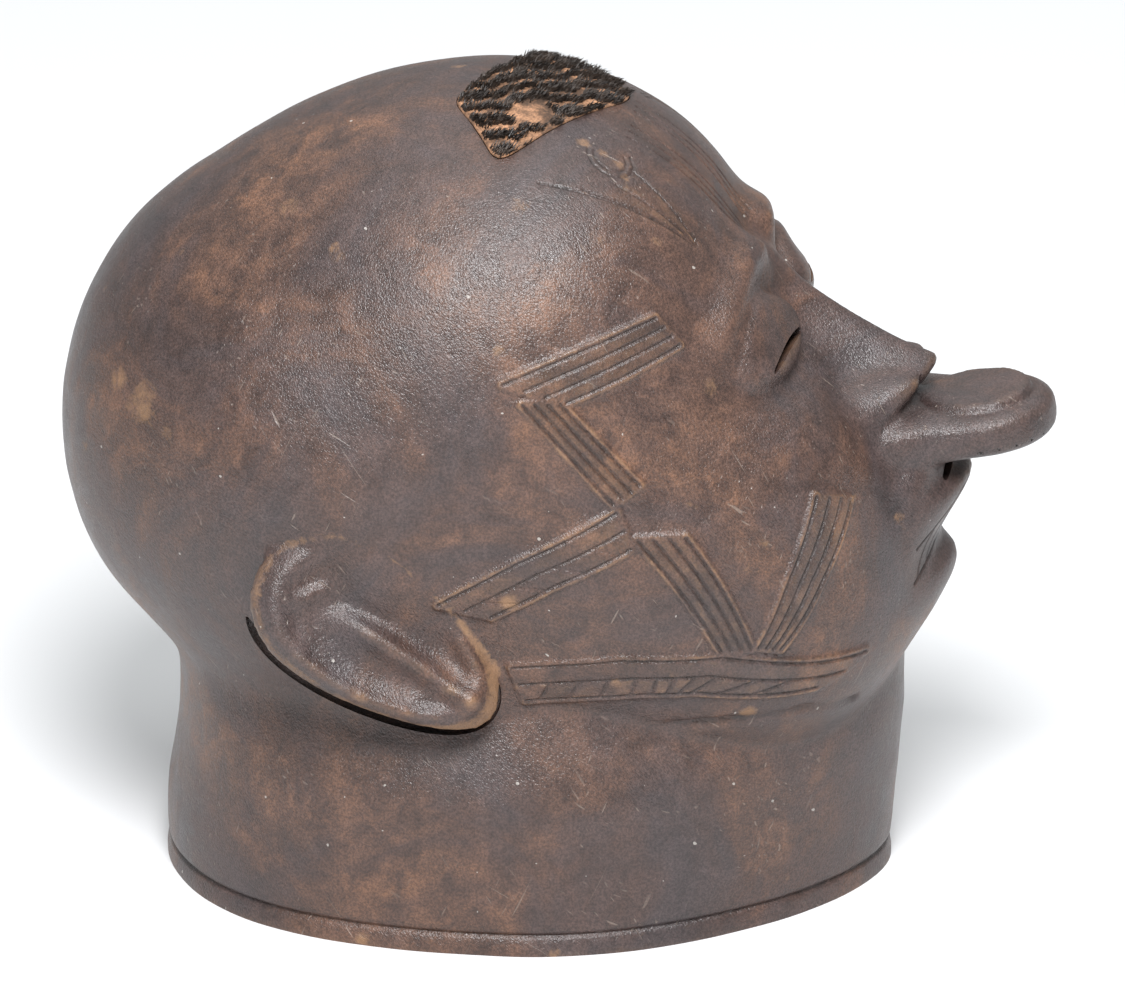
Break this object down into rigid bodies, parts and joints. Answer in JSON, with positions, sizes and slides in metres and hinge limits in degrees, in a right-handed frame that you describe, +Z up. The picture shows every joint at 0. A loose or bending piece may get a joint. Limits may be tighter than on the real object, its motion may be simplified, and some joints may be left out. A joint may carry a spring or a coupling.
{
  "type": "helmet mask",
  "caption": "Hollow carved wooden helmet mask: a head leaning back on an oval neck collar, with lip disc, scar grooves and a patch of hair.",
  "frame": {"origin": "middle of the mask's box at the level of the collar's rim, which it stands on", "axes": "+Z up from the rim, -Y towards the face, +X towards the mask's left ear"},
  "size_m": [0.2172, 0.3208, 0.2647],
  "materials": {
    "dark_wood": "worn waxed patina",
    "hair": "short hair set in tan resin"
  },
  "bodies": {
    "root": {"mask": "dark_wood", "hair_patch": "hair"}
  },
  "joints": []
}
